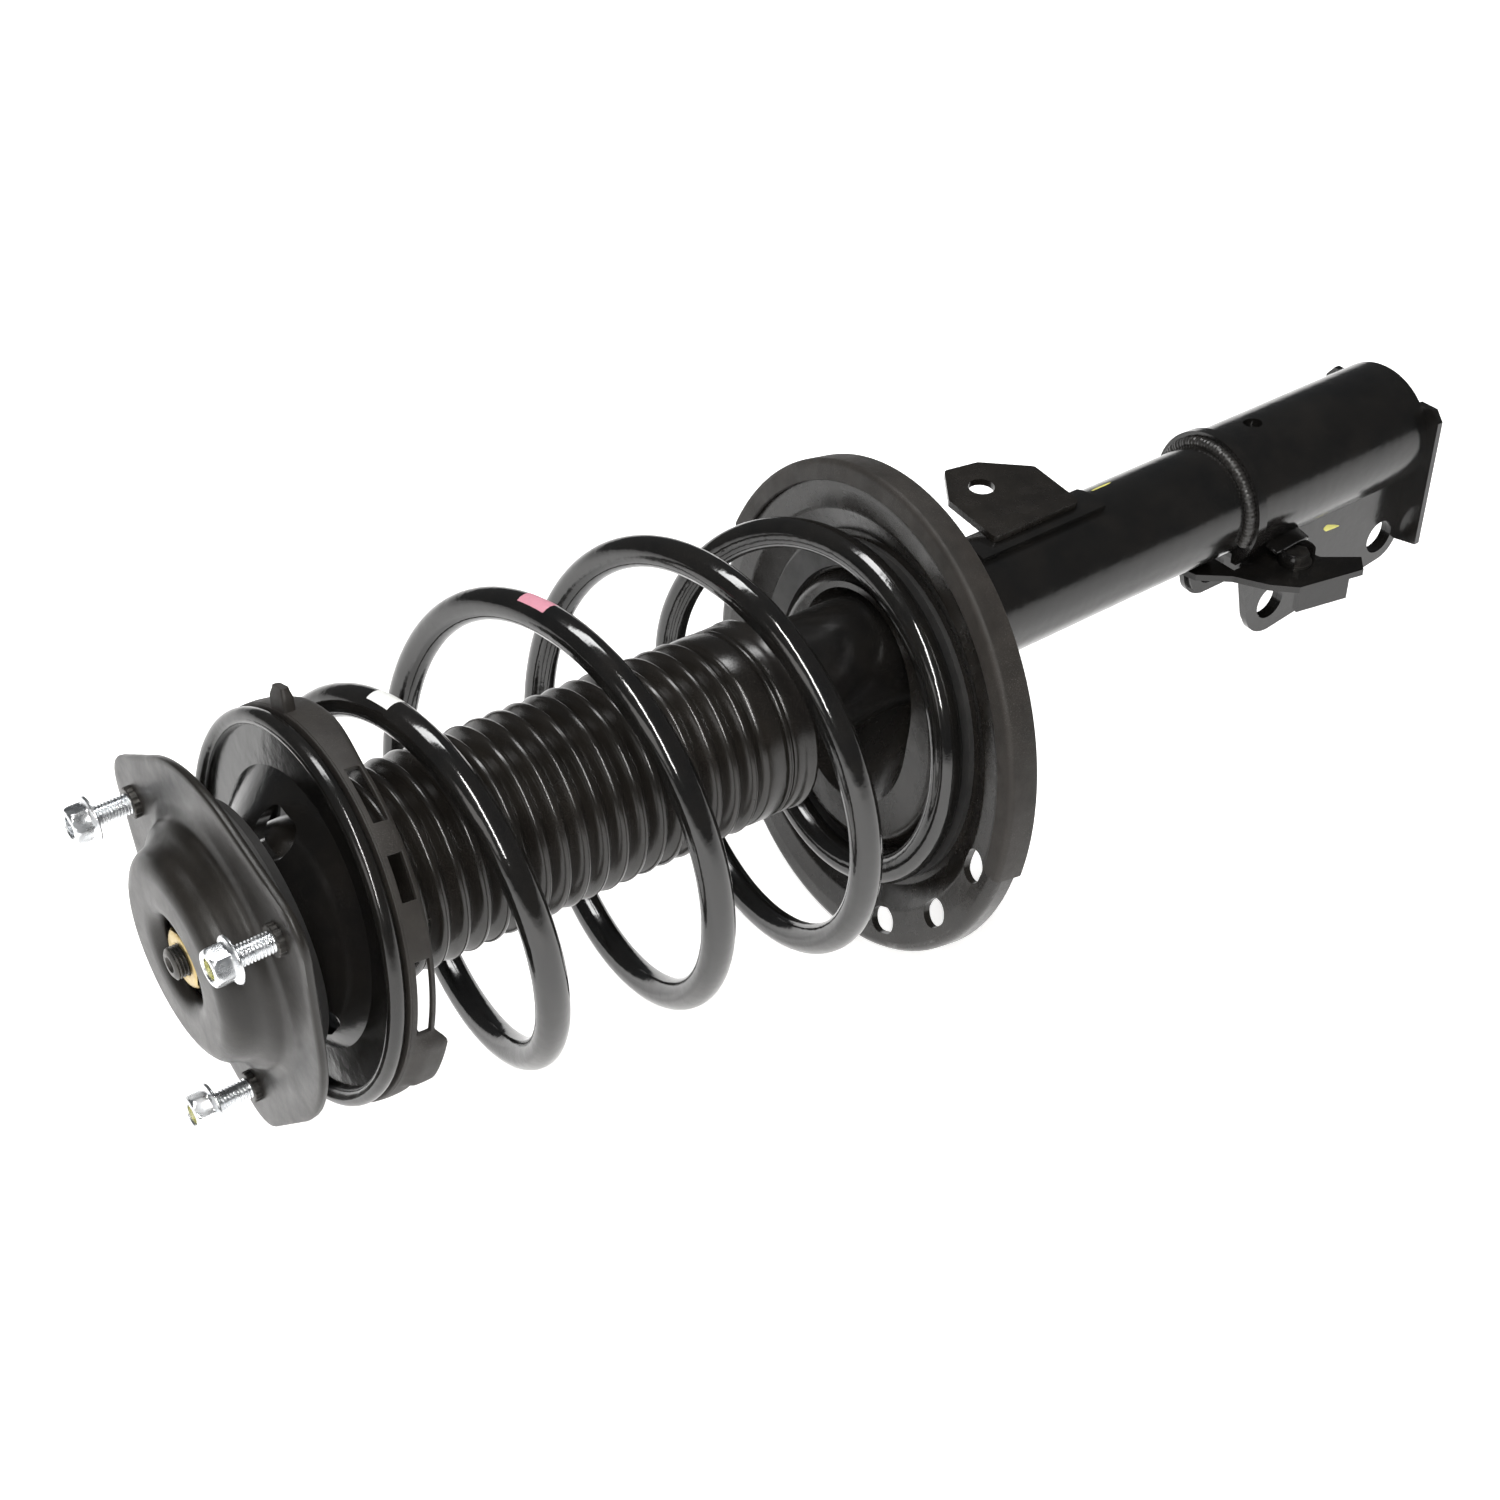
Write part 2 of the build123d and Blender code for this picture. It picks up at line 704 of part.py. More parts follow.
# reinforcing channel between the ears, under the tube
with BuildPart() as bracket_inner:
    with BuildSketch(across(488)):
        with BuildLine():
            Polyline(
                (-17.9, -67), (-17.9, -26), (17.9, -26), (17.9, -67), (15.4, -67),
                (15.4, -28.5), (-15.4, -28.5), (-15.4, -67), close=True)
        make_face()
    extrude(amount=100)
    with BuildSketch(Plane.XZ.offset(-30)):
        with Locations(bolt_a):
            Circle(13.5)
        with Locations(bolt_b):
            Circle(11.5)
        with Locations((492, -30), (584, -30)):
            Circle(4)
        make_hull()
        with Locations((538, -27)):
            Rectangle(100, 6)
        with Locations(bolt_a, bolt_b):
            Circle(bolt_hole_r, mode=Mode.SUBTRACT)
    extrude(amount=60, mode=Mode.INTERSECT)
bracket_inner.part.label = "bracket_inner"
export_step(bracket_inner.part, "parts/bracket_inner.step")

# weld round the front of the sleeve
with BuildPart() as collar_weld:
    with BuildSketch(Plane.XY):
        with BuildLine():
            Polyline(
                (479.95, tube_r + 0.02), (475.5, tube_r + 0.02), (476.5, tube_r + 2),
                (479.95, 29.5), close=True)
        make_face()
    revolve(axis=Axis.X)
    with Locations((477, 0, -30)):
        Box(12, 80, 32, mode=Mode.SUBTRACT)
collar_weld.part.label = "collar_weld"
export_step(collar_weld.part, "parts/collar_weld.step")

# flat plate for the brake hose, folded down at its outer edge
with BuildPart() as hose_bracket:
    with BuildSketch(Plane.XY.offset(-28.9)):
        with BuildLine():
            Polyline(
                (461, -4), (479, -2), (479, -21.5), (514, -21.5), (517.5, -37), (532, -48),
                (525, -55.5), (492, -48.5), (483, -39), (475, -24.5), (463, -14), close=True)
        make_face()
        with Locations((506, -33)):
            Circle(3.3, mode=Mode.SUBTRACT)
    extrude(amount=3)
    with BuildSketch(Plane.XY.offset(-38.9)):
        with BuildLine():
            Polyline((518, -54), (492, -48.5), (492.6, -45.5), (518.6, -51), close=True)
        make_face()
    extrude(amount=11)
hose_bracket.part.label = "hose_bracket"
export_step(hose_bracket.part, "parts/hose_bracket.step")

with BuildPart() as hose_bolt:
    with BuildSketch(Plane.XY.offset(-38)):
        with Locations((506, -33)):
            Circle(3)
    extrude(amount=12.1)
    with BuildSketch(Plane.XY.offset(-25.9)):
        with Locations((506, -33)):
            Circle(7)
    extrude(amount=1.2)
    with BuildSketch(Plane.XY.offset(-24.7)):
        with Locations((506, -33)):
            RegularPolygon(5, 6, major_radius=False)
    extrude(amount=4.2)
hose_bolt.part.label = "hose_bolt"
export_step(hose_bolt.part, "parts/hose_bolt.step")

with BuildPart() as hose_nut:
    with BuildSketch(Plane.XY.offset(-34.2)):
        with Locations((506, -33)):
            RegularPolygon(5, 6, major_radius=False)
            Circle(3.02, mode=Mode.SUBTRACT)
    extrude(amount=5.3)
hose_nut.part.label = "hose_nut"
export_step(hose_nut.part, "parts/hose_nut.step")
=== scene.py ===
import math

import bmesh
import bpy
import numpy as np
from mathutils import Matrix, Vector


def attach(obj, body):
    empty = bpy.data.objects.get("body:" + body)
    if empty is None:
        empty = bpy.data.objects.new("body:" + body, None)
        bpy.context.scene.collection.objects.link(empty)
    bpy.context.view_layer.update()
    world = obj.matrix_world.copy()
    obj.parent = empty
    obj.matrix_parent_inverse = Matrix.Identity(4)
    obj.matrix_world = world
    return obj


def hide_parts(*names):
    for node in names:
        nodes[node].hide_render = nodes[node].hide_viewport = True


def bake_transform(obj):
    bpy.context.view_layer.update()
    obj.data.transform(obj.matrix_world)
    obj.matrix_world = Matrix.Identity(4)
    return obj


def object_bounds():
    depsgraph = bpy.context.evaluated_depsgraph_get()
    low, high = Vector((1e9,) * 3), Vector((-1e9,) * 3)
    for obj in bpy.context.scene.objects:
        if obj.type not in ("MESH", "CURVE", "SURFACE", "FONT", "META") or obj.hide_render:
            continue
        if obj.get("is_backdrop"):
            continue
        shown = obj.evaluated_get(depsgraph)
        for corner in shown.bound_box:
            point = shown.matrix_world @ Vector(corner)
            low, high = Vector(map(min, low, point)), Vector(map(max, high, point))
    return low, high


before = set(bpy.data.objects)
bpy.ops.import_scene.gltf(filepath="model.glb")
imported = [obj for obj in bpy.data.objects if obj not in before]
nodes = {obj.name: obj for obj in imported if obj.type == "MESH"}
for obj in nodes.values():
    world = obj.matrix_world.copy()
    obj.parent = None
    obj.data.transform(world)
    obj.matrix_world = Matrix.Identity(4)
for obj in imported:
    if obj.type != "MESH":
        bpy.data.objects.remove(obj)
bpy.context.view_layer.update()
scene = bpy.context.scene
scene.view_settings.view_transform = "Standard"

MM = 0.001
TAU = 2 * math.pi


# ------------------------------------------------------------------ mesh helpers
def finish_mesh(name, verts, faces, material, angle=38):
    """A new object from points in millimetres, shaded smooth below this angle."""
    mesh = bpy.data.meshes.new(name)
    mesh.from_pydata([tuple(float(c) * MM for c in v) for v in verts], [], faces)
    work = bmesh.new()
    work.from_mesh(mesh)
    bmesh.ops.remove_doubles(work, verts=work.verts, dist=1e-7)
    bmesh.ops.recalc_face_normals(work, faces=work.faces)
    work.to_mesh(mesh)
    work.free()
    mesh.shade_smooth()
    mesh.set_sharp_from_angle(angle=math.radians(angle))
    mesh.materials.append(material)
    obj = bpy.data.objects.new(name, mesh)
    scene.collection.objects.link(obj)
    return obj


def grid_faces(rows, cols, wrap_rows=False, wrap_cols=True):
    """Quads over a grid of points numbered row by row."""
    faces = []
    for i in range(rows if wrap_rows else rows - 1):
        for j in range(cols if wrap_cols else cols - 1):
            a = i * cols + j
            b = i * cols + (j + 1) % cols
            c = ((i + 1) % rows) * cols + (j + 1) % cols
            d = ((i + 1) % rows) * cols + j
            faces.append((a, b, c, d))
    return faces


def stack(name, rings, material, closed=False, angle=38):
    """Rings of points joined in order; the ends are capped unless the stack closes on itself."""
    rows, cols = len(rings), len(rings[0])
    verts = [p for ring in rings for p in ring]
    faces = grid_faces(rows, cols, wrap_rows=closed)
    if not closed:
        faces.append(tuple(range(cols))[::-1])
        faces.append(tuple((rows - 1) * cols + j for j in range(cols)))
    return finish_mesh(name, verts, faces, material, angle)


def around_x(x, r, n, cy=0.0, cz=0.0):
    """A ring about a line along X; r may be a number or a function of the angle."""
    ring = []
    for j in range(n):
        a = TAU * j / n
        rad = r(a) if callable(r) else r
        ring.append((x, cy + rad * math.cos(a), cz + rad * math.sin(a)))
    return ring


def axis_frame(y, z):
    """Unit vectors of an axis near +X with these slopes: along it, its side and its up."""
    ax = np.array([1.0, y, z])
    ax /= np.linalg.norm(ax)
    e1 = np.cross([0, 0, 1.0], ax)
    e1 /= np.linalg.norm(e1)
    return ax, e1, np.cross(ax, e1)


def lathe(name, profile, material, n=96, closed=True, origin=(0, 0, 0), slope=(0.0, 0.0),
          angle=38, start=0.0, sweep=TAU):
    """A profile of (along, radius) points turned about an axis near +X."""
    o = np.array(origin, float)
    ax, e1, e2 = axis_frame(*slope)
    full = abs(sweep - TAU) < 1e-6
    rings = []
    for j in range(n if full else n + 1):
        a = start + sweep * j / n
        out = e1 * math.cos(a) + e2 * math.sin(a)
        rings.append([tuple(o + ax * s + out * r) for s, r in profile])
    rows, cols = len(rings), len(profile)
    verts = [p for ring in rings for p in ring]
    faces = grid_faces(rows, cols, wrap_rows=full, wrap_cols=closed)
    if not full:
        faces.append(tuple(range(cols))[::-1])
        faces.append(tuple((rows - 1) * cols + j for j in range(cols)))
    return finish_mesh(name, verts, faces, material, angle)


def rounded(points, radius, steps=5):
    """A closed polygon with its corners rounded, as a list of points."""
    out = []
    n = len(points)
    for i in range(n):
        p = np.array(points[i], float)
        a = np.array(points[i - 1], float) - p
        b = np.array(points[(i + 1) % n], float) - p
        la, lb = np.linalg.norm(a), np.linalg.norm(b)
        rad = radius[i] if isinstance(radius, (list, tuple)) else radius
        cut = min(rad, 0.45 * la, 0.45 * lb)
        if cut <= 0:
            out.append(tuple(p))
            continue
        s, e = p + a / la * cut, p + b / lb * cut
        for k in range(steps + 1):
            t = k / steps
            out.append(tuple((1 - t) ** 2 * s + 2 * t * (1 - t) * p + t * t * e))
    return out


def sheet_profile(line, thickness, radius=3.0, steps=6):
    """A closed section of pressed sheet: an open line given its thickness, with soft bends."""
    pts = [np.array(p, float) for p in line]
    fine = [pts[0]]
    for i in range(1, len(pts) - 1):
        p = pts[i]
        a, b = pts[i - 1] - p, pts[i + 1] - p
        la, lb = np.linalg.norm(a), np.linalg.norm(b)
        cut = min(radius, 0.45 * la, 0.45 * lb)
        s, e = p + a / la * cut, p + b / lb * cut
        for k in range(steps + 1):
            t = k / steps
            fine.append((1 - t) ** 2 * s + 2 * t * (1 - t) * p + t * t * e)
    fine.append(pts[-1])
    fine = np.array(fine)
    tang = np.gradient(fine, axis=0)
    tang /= np.linalg.norm(tang, axis=1)[:, None]
    nrm = np.c_[-tang[:, 1], tang[:, 0]]
    h = thickness / 2
    left, right = fine + nrm * h, fine - nrm * h
    cap_end = [fine[-1] + tang[-1] * h * 0.35 + nrm[-1] * h * s for s in (0.6, -0.6)]
    cap_start = [fine[0] - tang[0] * h * 0.35 + nrm[0] * h * s for s in (-0.6, 0.6)]
    return [tuple(p) for p in [*left, *cap_end, *right[::-1], *cap_start]]


def hex_radius(flat, phase):
    """Distance to the side of a hexagon at this angle, its corners eased."""
    def r(a):
        k = (a - phase + math.pi / 6) % (math.pi / 3) - math.pi / 6
        return flat / math.cos(k) * (1 - 0.012 * (abs(k) / (math.pi / 6)) ** 6)
    return r


# ------------------------------------------------------------------ materials
def new_material(name):
    """An empty node material with one Principled shader."""
    mat = bpy.data.materials.new(name)
    mat.use_nodes = True
    tree = mat.node_tree
    tree.nodes.clear()
    out = tree.nodes.new("ShaderNodeOutputMaterial")
    bsdf = tree.nodes.new("ShaderNodeBsdfPrincipled")
    tree.links.new(bsdf.outputs[0], out.inputs[0])
    return mat, tree, bsdf


def noise(tree, coord, scale, detail=3.0, rough=0.5, stretch=None):
    """A noise texture's output, stretched along an axis if asked."""
    node = tree.nodes.new("ShaderNodeTexNoise")
    node.inputs["Scale"].default_value = scale
    node.inputs["Detail"].default_value = detail
    node.inputs["Roughness"].default_value = rough
    if stretch:
        mapping = tree.nodes.new("ShaderNodeMapping")
        mapping.inputs["Scale"].default_value = stretch
        tree.links.new(coord, mapping.inputs[0])
        tree.links.new(mapping.outputs[0], node.inputs[0])
    else:
        tree.links.new(coord, node.inputs[0])
    return node.outputs[0]


def remap(tree, value, low_in, high_in, low, high):
    """A value moved from one range to another."""
    node = tree.nodes.new("ShaderNodeMapRange")
    node.inputs[1].default_value = low_in
    node.inputs[2].default_value = high_in
    node.inputs[3].default_value = low
    node.inputs[4].default_value = high
    tree.links.new(value, node.inputs[0])
    return node.outputs[0]


def blend_colour(tree, factor, a, b):
    """A mix of two colours, each a plain colour or another node's output."""
    node = tree.nodes.new("ShaderNodeMix")
    node.data_type = "RGBA"
    tree.links.new(factor, node.inputs[0])
    for socket, value in ((node.inputs[6], a), (node.inputs[7], b)):
        if hasattr(value, "is_linked"):
            tree.links.new(value, socket)
        else:
            socket.default_value = (*value, 1)
    return node.outputs[2]


def surface(name, dark, light, rough, metallic=0.0, patch=55, fine=900, fine_bump=0.05,
            wave=None, wave_bump=0.0, dust=None, dust_amount=0.0, ior=1.5, scratch=0.0,
            spec=0.5):
    """A finish with cloudy colour, varied roughness, fine bump, and optional dust and scratches."""
    mat, tree, bsdf = new_material(name)
    coord = tree.nodes.new("ShaderNodeTexCoord").outputs["Object"]
    cloud = noise(tree, coord, patch, 4, 0.6)
    colour = blend_colour(tree, remap(tree, cloud, 0.3, 0.7, 0, 1), dark, light)
    if dust:
        specks = noise(tree, coord, 2600, 2, 0.7)
        where = noise(tree, coord, 38, 3, 0.6)
        mul = tree.nodes.new("ShaderNodeMath")
        mul.operation = "MULTIPLY"
        tree.links.new(remap(tree, specks, 0.55, 0.75, 0, 1), mul.inputs[0])
        tree.links.new(remap(tree, where, 0.4, 0.7, 0, dust_amount), mul.inputs[1])
        colour = blend_colour(tree, mul.outputs[0], colour, dust)
    tree.links.new(colour, bsdf.inputs["Base Color"])
    smudge = noise(tree, coord, patch * 1.7, 5, 0.65)
    tree.links.new(remap(tree, smudge, 0.3, 0.7, rough[0], rough[1]), bsdf.inputs["Roughness"])
    bsdf.inputs["Metallic"].default_value = metallic
    bsdf.inputs["IOR"].default_value = ior
    bsdf.inputs["Specular IOR Level"].default_value = spec
    bump = tree.nodes.new("ShaderNodeBump")
    bump.inputs["Strength"].default_value = fine_bump
    bump.inputs["Distance"].default_value = 0.0004
    tree.links.new(noise(tree, coord, fine, 3, 0.6), bump.inputs["Height"])
    last = bump
    if wave:
        second = tree.nodes.new("ShaderNodeBump")
        second.inputs["Strength"].default_value = wave_bump
        second.inputs["Distance"].default_value = 0.002
        tree.links.new(noise(tree, coord, wave, 2, 0.4), second.inputs["Height"])
        tree.links.new(last.outputs[0], second.inputs["Normal"])
        last = second
    if scratch:
        third = tree.nodes.new("ShaderNodeBump")
        third.inputs["Strength"].default_value = scratch
        third.inputs["Distance"].default_value = 0.0002
        lines = noise(tree, coord, 700, 2, 0.5, (0.06, 1, 1))
        tree.links.new(lines, third.inputs["Height"])
        tree.links.new(last.outputs[0], third.inputs["Normal"])
        last = third
    tree.links.new(last.outputs[0], bsdf.inputs["Normal"])
    return mat


MOUNT_BLACK = surface("mount_black", (0.008, 0.007, 0.006), (0.016, 0.014, 0.012), (0.30, 0.42),
                      fine=1500, fine_bump=0.10, wave=140, wave_bump=0.05,
                      dust=(0.32, 0.30, 0.27), dust_amount=0.07, spec=0.36)
GLOSS_BLACK = surface("gloss_black", (0.005, 0.005, 0.005), (0.010, 0.009, 0.008), (0.12, 0.21),
                      fine=1300, fine_bump=0.05, wave=170, wave_bump=0.06,
                      dust=(0.45, 0.43, 0.40), dust_amount=0.05)
SEAT_BLACK = surface("seat_black", (0.007, 0.006, 0.005), (0.014, 0.012, 0.010), (0.20, 0.32),
                     fine=1300, fine_bump=0.07, wave=120, wave_bump=0.06,
                     dust=(0.45, 0.42, 0.38), dust_amount=0.08, spec=0.42)
COIL_BLACK = surface("coil_black", (0.005, 0.005, 0.005), (0.010, 0.009, 0.008), (0.08, 0.15),
                     fine=1100, fine_bump=0.045, wave=210, wave_bump=0.05,
                     dust=(0.5, 0.48, 0.45), dust_amount=0.06, ior=1.62)
BOOT_RUBBER = surface("boot_rubber", (0.008, 0.007, 0.006), (0.015, 0.013, 0.011), (0.17, 0.28),
                      fine=1700, fine_bump=0.07, wave=90, wave_bump=0.08,
                      dust=(0.30, 0.28, 0.25), dust_amount=0.09, spec=0.45)
GUARD_RUBBER = surface("guard_rubber", (0.014, 0.012, 0.010), (0.026, 0.022, 0.019), (0.50, 0.66),
                       patch=80, fine=2200, fine_bump=0.30, wave=120, wave_bump=0.05,
                       dust=(0.5, 0.48, 0.45), dust_amount=0.16, spec=0.36)
INSULATOR_RUBBER = surface("insulator_rubber", (0.013, 0.011, 0.010), (0.024, 0.021, 0.018),
                           (0.48, 0.64), patch=70, fine=2200, fine_bump=0.22, wave=110,
                           wave_bump=0.05, dust=(0.5, 0.48, 0.45), dust_amount=0.12, spec=0.36)
SEAL_RUBBER = surface("seal_rubber", (0.018, 0.018, 0.018), (0.032, 0.031, 0.030), (0.5, 0.68),
                      fine=2000, fine_bump=0.2)
ZINC = surface("zinc_plate", (0.62, 0.64, 0.66), (0.82, 0.83, 0.84), (0.20, 0.36), metallic=1.0,
               patch=130, fine=2400, fine_bump=0.10, scratch=0.12)
CAP_ZINC = surface("cap_zinc", (0.66, 0.67, 0.68), (0.86, 0.87, 0.88), (0.30, 0.46),
                   metallic=0.45, patch=130, fine=2400, fine_bump=0.08, scratch=0.10)
GOLD = surface("gold_plate", (0.36, 0.26, 0.10), (0.56, 0.45, 0.22), (0.26, 0.42), metallic=1.0,
               patch=160, fine=2400, fine_bump=0.10, scratch=0.10)
STEEL = surface("plain_steel", (0.36, 0.36, 0.36), (0.52, 0.52, 0.51), (0.28, 0.45), metallic=1.0,
                patch=120, fine=1800, fine_bump=0.10, scratch=0.2)
DARK_STEEL = surface("dark_steel", (0.030, 0.029, 0.028), (0.07, 0.066, 0.060), (0.30, 0.5),
                     metallic=0.7, patch=200, fine=1800, fine_bump=0.15)
CHROME = surface("rod_chrome", (0.58, 0.59, 0.60), (0.66, 0.67, 0.68), (0.07, 0.13), metallic=1.0,
                 patch=60, fine=2500, fine_bump=0.03, scratch=0.05)
FOAM = surface("buffer_foam", (0.50, 0.46, 0.32), (0.62, 0.57, 0.42), (0.8, 0.95), patch=90,
               fine=1600, fine_bump=0.5)
WELD = surface("painted_weld", (0.012, 0.012, 0.012), (0.024, 0.022, 0.020), (0.22, 0.42),
               fine=700, fine_bump=0.35, wave=260, wave_bump=0.3)


def paint(name, colour):
    """Dull brushed-on paint, a little uneven in colour."""
    return surface(name, tuple(c * 0.85 for c in colour), colour, (0.5, 0.7), patch=300,
                   fine=1500, fine_bump=0.25)


WHITE_PAINT = paint("paint_white", (0.80, 0.80, 0.78))
PINK_PAINT = paint("paint_pink", (0.60, 0.25, 0.32))
YELLOW_PAINT = paint("paint_yellow", (0.70, 0.66, 0.16))

# ------------------------------------------------------------------ CAD nodes that stay
keep = {
    "mount_backing": MOUNT_BLACK, "mount_rubber": SEAL_RUBBER, "mount_sleeve": STEEL,
    "bearing_outer_race": STEEL, "bearing_inner_race": STEEL, "bearing_balls": CHROME,
    "dust_seal": SEAL_RUBBER, "rod_washer": STEEL, "upper_spring_seat": GLOSS_BLACK,
    "bump_stop": FOAM, "rebound_stop": SEAL_RUBBER, "piston": STEEL, "piston_ring": SEAL_RUBBER,
    "piston_nut": STEEL, "bump_cap": CAP_ZINC, "outer_tube": GLOSS_BLACK, "rod_guide": STEEL,
    "oil_seal": SEAL_RUBBER, "inner_cylinder": STEEL, "base_valve": STEEL,
    "tube_cap": GLOSS_BLACK, "lower_spring_seat": SEAT_BLACK, "lower_insulator": SEAL_RUBBER,
    "link_bracket": SEAT_BLACK, "link_saddle": GLOSS_BLACK, "knuckle_bracket": GLOSS_BLACK,
    "bracket_inner": GLOSS_BLACK, "hose_bracket": GLOSS_BLACK, "hose_bolt": DARK_STEEL,
    "hose_nut": DARK_STEEL,
}
soft_edges = {
    "mount_backing": 0.4, "upper_spring_seat": 0.5, "lower_spring_seat": 0.6,
    "link_bracket": 0.5, "link_saddle": 0.6, "knuckle_bracket": 0.7, "bracket_inner": 0.5,
    "hose_bracket": 0.5, "bump_cap": 0.3, "hose_bolt": 0.3, "hose_nut": 0.3, "dust_seal": 0.8,
    "mount_rubber": 1.0, "bump_stop": 0.8, "tube_cap": 0.4, "rod_washer": 0.3,
}
for name, mat in keep.items():
    obj = nodes[name]
    for index in range(max(1, len(obj.material_slots))):
        if len(obj.material_slots) == 0:
            obj.data.materials.append(mat)
        obj.material_slots[index].material = mat
    if name in soft_edges:
        bevel = obj.modifiers.new("soft_edge", "BEVEL")
        bevel.width = soft_edges[name] * MM
        bevel.segments = 2
        bevel.limit_method = "ANGLE"
        bevel.angle_limit = math.radians(35)
        bevel.harden_normals = False

# ------------------------------------------------------------------ shared sizes
SEAT_SLOPE, TOP_SLOPE = (-0.08, -0.14), (0.0, -0.13)
SEAT_O, TOP_O = np.array([282.4, -2.9, -25.2]), np.array([31.9, 0.0, 0.0])
SEAT_AX, SEAT_E1, SEAT_E2 = axis_frame(*SEAT_SLOPE)
TOP_AX, TOP_E1, TOP_E2 = axis_frame(*TOP_SLOPE)
STUD_R, STUD_START = 63.5, 23.0
PLATE_R, LOBE_R, PLATE_T = 69.0, 17.5, 3.0
TUBE_R = 25.4
BOLT_AT = (506, -33)
stud_angles = [math.radians(STUD_START + 120 * k) for k in range(3)]
studs = [(STUD_R * math.cos(a), STUD_R * math.sin(a)) for a in stud_angles]


def ease(value, start, end):
    """0 before start, 1 after end, smooth in between."""
    t = min(1.0, max(0.0, (value - start) / (end - start)))
    return t * t * (3 - 2 * t)


# ------------------------------------------------------------------ top mount plate
def plate_radius(a):
    """Edge of the plate: the tight outline round a disc and three lobes, along this direction."""
    best = PLATE_R
    reach = math.acos((PLATE_R - LOBE_R) / STUD_R)
    lobe_touch = math.atan2(LOBE_R * math.sin(reach), STUD_R + LOBE_R * math.cos(reach))
    for lobe in stud_angles:
        d = abs((a - lobe + math.pi) % TAU - math.pi)
        if d <= lobe_touch:
            s = STUD_R * math.sin(d)
            best = max(best, STUD_R * math.cos(d) + math.sqrt(max(0.0, LOBE_R ** 2 - s * s)))
        elif d < reach:
            best = max(best, PLATE_R / math.cos(reach - d))
    return best


def plate_line(a):
    """Section of the pressed plate at this angle, from the rolled hole out to the edge."""
    edge = plate_radius(a) - 1.2
    return [(-12.4, 16.6), (-15.4, 19.0), (-16.0, 22.0), (-16.0, 34.0), (-13.5, 37.8),
            (-8.6, 39.6), (-6.4, 41.6), (-4.0, 44.6), (-0.6, 46.0), (1.2, 50.0), (1.5, 54.0),
            (1.5, edge - 7.0), (1.5, edge - 3.0), (1.9, edge)]


rings = []
plate_sides = 180
for j in range(plate_sides):
    a = TAU * j / plate_sides
    profile = sheet_profile(plate_line(a), PLATE_T, 2.4, 4)
    rings.append([(x, r * math.cos(a), r * math.sin(a)) for x, r in profile])
cup = stack("mount_cup_pressed", rings, MOUNT_BLACK, closed=True, angle=50)
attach(cup, "mount")
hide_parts("mount_cup")


# ------------------------------------------------------------------ studs, nuts and the rod's nose
THREAD_PITCH = 1.25


def thread_rings(x0, x1, r, cy=0.0, cz=0.0, n=28):
    """Rings of a screw thread along X, its ridges fading at both ends."""
    pitch, per_pitch = THREAD_PITCH, 8
    depth = 0.61 * pitch
    steps = int(abs(x1 - x0) / pitch * per_pitch)
    out = []
    for i in range(steps + 1):
        x = x0 + (x1 - x0) * i / steps
        ring = []
        for j in range(n):
            a = TAU * j / n
            f = (x / pitch - a / TAU) % 1.0
            tri = 1 - abs(2 * f - 1)
            fade = min(1.0, abs(x - x0) / pitch, abs(x1 - x) / pitch)
            rad = r - depth * (1 - min(1.0, tri * 1.25)) * (0.3 + 0.7 * fade)
            ring.append((x, cy + rad * math.cos(a), cz + rad * math.sin(a)))
        out.append(ring)
    return out


def serrated(a):
    """Radius of the collar's knurled edge."""
    return 6.0 - 0.35 * (0.5 + 0.5 * math.cos(a * 18))


nut_phase = [0.35, 0.62, 0.12]
for k, (y, z) in enumerate(studs):
    n = 28
    rings = [around_x(-22.9, 2.6, n, y, z), around_x(-22.9, 3.0, n, y, z)]
    rings += thread_rings(-22.4, -2.4, 3.95, y, z)
    shaft = stack(f"stud_thread_{k}", rings, ZINC, angle=60)
    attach(shaft, "mount")
    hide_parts("mount_studs")

    n = 72
    rings = [around_x(-2.6, 3.4, n, y, z), around_x(-2.6, lambda a: serrated(a) - 0.4, n, y, z),
             around_x(-2.2, serrated, n, y, z), around_x(0.4, serrated, n, y, z)]
    collar = stack(f"stud_collar_{k}", rings, DARK_STEEL)
    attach(collar, "mount")
    rings = [around_x(2.8, 6.9, 40, y, z), around_x(4.6, 6.9, 40, y, z),
             around_x(5.15, 6.3, 40, y, z)]
    head = stack(f"stud_head_{k}", rings, DARK_STEEL)
    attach(head, "mount")

    hexa = hex_radius(6.2, nut_phase[k])
    rings = [around_x(-21.5, 4.0, n, y, z), around_x(-24.4, 4.0, n, y, z),
             around_x(-24.95, 4.5, n, y, z), around_x(-24.98, 5.3, n, y, z)]
    for x, lim in ((-24.9, 5.75), (-24.6, 6.25), (-24.2, 6.6), (-23.6, 6.95), (-22.8, 7.15)):
        rings.append(around_x(x, lambda a, lim=lim: min(hexa(a), lim), n, y, z))
    rings.append(around_x(-19.0, hexa, n, y, z))
    for x, lim, mixw in ((-18.5, 6.4, 0.15), (-18.0, 6.9, 0.5), (-17.6, 7.7, 0.85)):
        rings.append(around_x(
            x, lambda a, lim=lim, w=mixw: max(hexa(a) * (1 - w) + lim * w, lim), n, y, z))
    for x, r in ((-17.35, 8.35), (-17.0, 8.65), (-16.7, 8.72), (-16.35, 8.6), (-16.22, 8.2),
                 (-16.22, 4.05)):
        rings.append(around_x(x, r, n, y, z))
    nut = stack(f"stud_nut_{k}", rings, ZINC, closed=True, angle=28)
    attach(nut, "mount")
    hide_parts("stud_nuts")
    if k != 0:
        rings = [around_x(-22.95, 0.1, 20, y, z), around_x(-23.05, 2.9, 20, y, z),
                 around_x(-22.9, 3.7, 20, y, z)]
        dab = stack(f"stud_paint_{k}", rings, YELLOW_PAINT)
        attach(dab, "mount")

